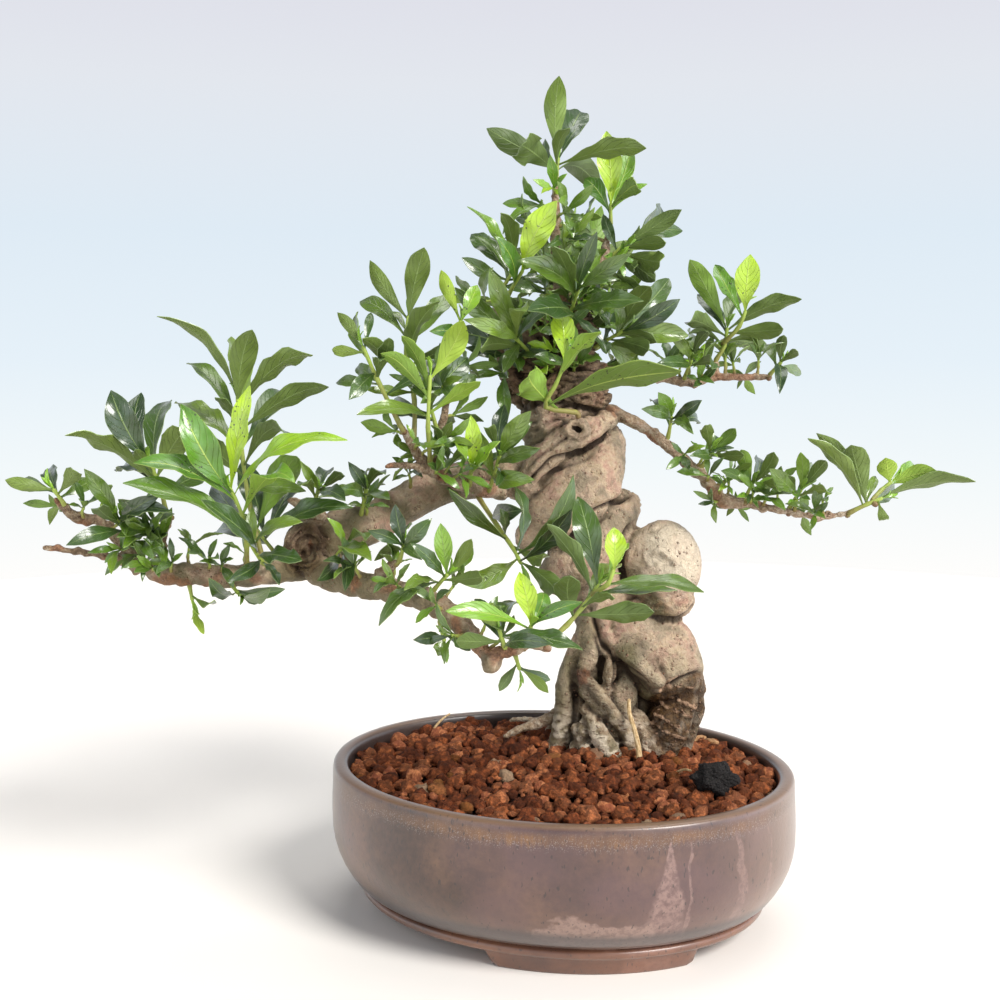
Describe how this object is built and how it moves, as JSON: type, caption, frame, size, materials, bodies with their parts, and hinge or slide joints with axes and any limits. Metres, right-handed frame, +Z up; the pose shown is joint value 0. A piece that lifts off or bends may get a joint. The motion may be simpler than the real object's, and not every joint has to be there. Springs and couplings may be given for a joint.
{
  "type": "gardenia bonsai in a pot",
  "caption": "Gardenia bonsai with a swollen, twisting trunk, a long low limb, sprays of lance-shaped leaves and an oval footed stoneware pot of baked clay grains.",
  "frame": {"origin": "centre of the whole part's box in X and Y, at the level of the undersides of the pot's feet", "axes": "+Z up; +X along the pot's long side, to the right of someone who faces the pot; +Y to the back. The tree's own front looks along -Y turned 20 degrees towards +X"},
  "size_m": [0.3402, 0.2206, 0.3331],
  "materials": {
    "glazed_stoneware": "satin taupe glaze with rust at the rim, dusty pink runs and a bare coppery foot",
    "screen_plastic": "black drainage net",
    "baked_clay_granules": "matt red-brown baked clay grains",
    "lava": "rough black lump",
    "dry_bark": "dry tan bark chip",
    "straw": "dry straw",
    "bark": "tan and pinkish-grey living bark with olive-green patches, dark creases and small lenticels",
    "dark_leaf": "living leaf, glossy dark green with a pale rib",
    "fresh_leaf": "young living leaf, bright yellow-green"
  },
  "bodies": {
    "root": {"pot": "glazed_stoneware", "drain_screen_left": "screen_plastic", "drain_screen_right": "screen_plastic", "soil": "baked_clay_granules", "lava_lump": "lava", "bark_chip_1": "dry_bark", "bark_chip_2": "dry_bark", "straw_1": "straw", "straw_2": "straw", "trunk_and_limbs": "bark", "shoot_crown_top": "dark_leaf", "shoot_crown_fresh": "fresh_leaf", "shoot_crown_right": "dark_leaf", "shoot_crown_left": "dark_leaf", "shoot_crown_fresh_left": "fresh_leaf", "shoot_crown_core_front": "dark_leaf", "shoot_crown_core_back": "dark_leaf", "shoot_crown_back_low": "dark_leaf", "shoot_crown_shoot": "fresh_leaf", "shoot_crown_mid_left": "dark_leaf", "shoot_crown_mid_right": "dark_leaf", "shoot_centre_top": "dark_leaf", "shoot_centre_top_fresh": "fresh_leaf", "shoot_centre_left": "dark_leaf", "shoot_centre_fresh": "fresh_leaf", "shoot_centre_mid": "dark_leaf", "shoot_centre_yellow": "fresh_leaf", "shoot_centre_right": "dark_leaf", "shoot_left_tall": "dark_leaf", "shoot_left_fresh": "fresh_leaf", "shoot_left_low": "dark_leaf", "shoot_left_inner": "dark_leaf", "shoot_left_outer": "dark_leaf", "shoot_left_outer_low": "dark_leaf", "shoot_left_tip": "dark_leaf", "shoot_left_hanging": "fresh_leaf", "shoot_left_under": "dark_leaf", "shoot_limb_top_one": "dark_leaf", "shoot_limb_top_two": "dark_leaf", "shoot_limb_under": "dark_leaf", "shoot_lower_twig": "dark_leaf", "shoot_lower_mid": "dark_leaf", "shoot_lower_under": "dark_leaf", "shoot_knob_fresh": "fresh_leaf", "shoot_knob_dark": "dark_leaf", "shoot_knob_low": "dark_leaf", "shoot_front_shoot": "dark_leaf", "shoot_front_fresh": "fresh_leaf", "shoot_limb_shoot": "dark_leaf", "shoot_right_low_one": "dark_leaf", "shoot_right_low_two": "dark_leaf", "shoot_right_low_three": "dark_leaf", "shoot_right_low_four": "dark_leaf", "shoot_right_end": "dark_leaf", "shoot_right_end_fresh": "fresh_leaf", "shoot_right_up_main": "dark_leaf", "shoot_right_up_fresh": "fresh_leaf", "shoot_right_up_end": "dark_leaf", "shoot_right_up_mid": "dark_leaf"}
  },
  "joints": []
}
